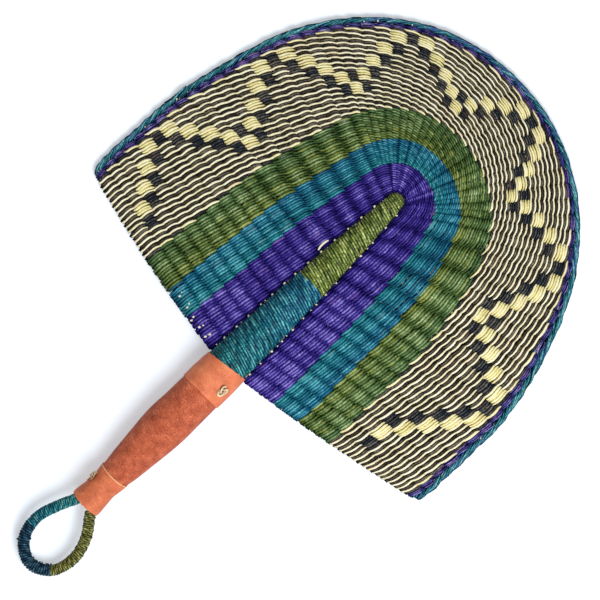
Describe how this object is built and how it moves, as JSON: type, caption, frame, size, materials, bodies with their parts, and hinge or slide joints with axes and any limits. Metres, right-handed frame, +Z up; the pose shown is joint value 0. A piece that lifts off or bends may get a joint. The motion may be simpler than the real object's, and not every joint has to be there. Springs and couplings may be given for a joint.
{
  "type": "bolga fan",
  "caption": "Hand-woven straw hand fan: ribbed, banded shield-shaped blade on a wound spine, leather-covered grip and a wound hanging loop.",
  "frame": {"origin": "under the middle of the fan on the table that it lies on, at the bottom centre of its overall box", "axes": "+Y up the fan from the hanging loop to the crown of the blade, +Z up from the table, +X to the right seen from above"},
  "size_m": [0.318, 0.4728, 0.0325],
  "materials": {
    "straw_purple": "dyed grass straw, satin",
    "straw_teal": "dyed grass straw, satin",
    "straw_green": "dyed grass straw, satin",
    "straw_patterned": "natural and near-black grass straw, satin",
    "straw_natural": "undyed grass straw, satin",
    "leather_orange": "dyed goat leather, satin",
    "leather_terracotta": "dyed goat leather, satin"
  },
  "bodies": {
    "root": {"weft_purple": "straw_purple", "weft_teal": "straw_teal", "weft_green": "straw_green", "weft_patterned": "straw_patterned", "rim_purple": "straw_purple", "rim_teal": "straw_teal", "stake_01": "straw_natural", "stake_02": "straw_natural", "stake_03": "straw_natural", "stake_04": "straw_natural", "stake_05": "straw_natural", "stake_06": "straw_natural", "stake_07": "straw_natural", "stake_08": "straw_natural", "stake_09": "straw_natural", "stake_10": "straw_natural", "stake_11": "straw_natural", "stake_12": "straw_natural", "stake_13": "straw_natural", "stake_14": "straw_natural", "stake_15": "straw_natural", "stake_16": "straw_natural", "stake_17": "straw_natural", "stake_18": "straw_natural", "stake_19": "straw_natural", "collar_upper": "leather_orange", "grip_leather": "leather_terracotta", "collar_lower": "leather_orange", "core_bundle": "straw_natural", "spine_wrap_teal": "straw_teal", "spine_wrap_green": "straw_green", "loop_core": "straw_natural", "loop_wrap_teal": "straw_teal", "loop_wrap_green": "straw_green", "stitch_upper": "straw_natural", "stitch_lower": "straw_natural"}
  },
  "joints": []
}
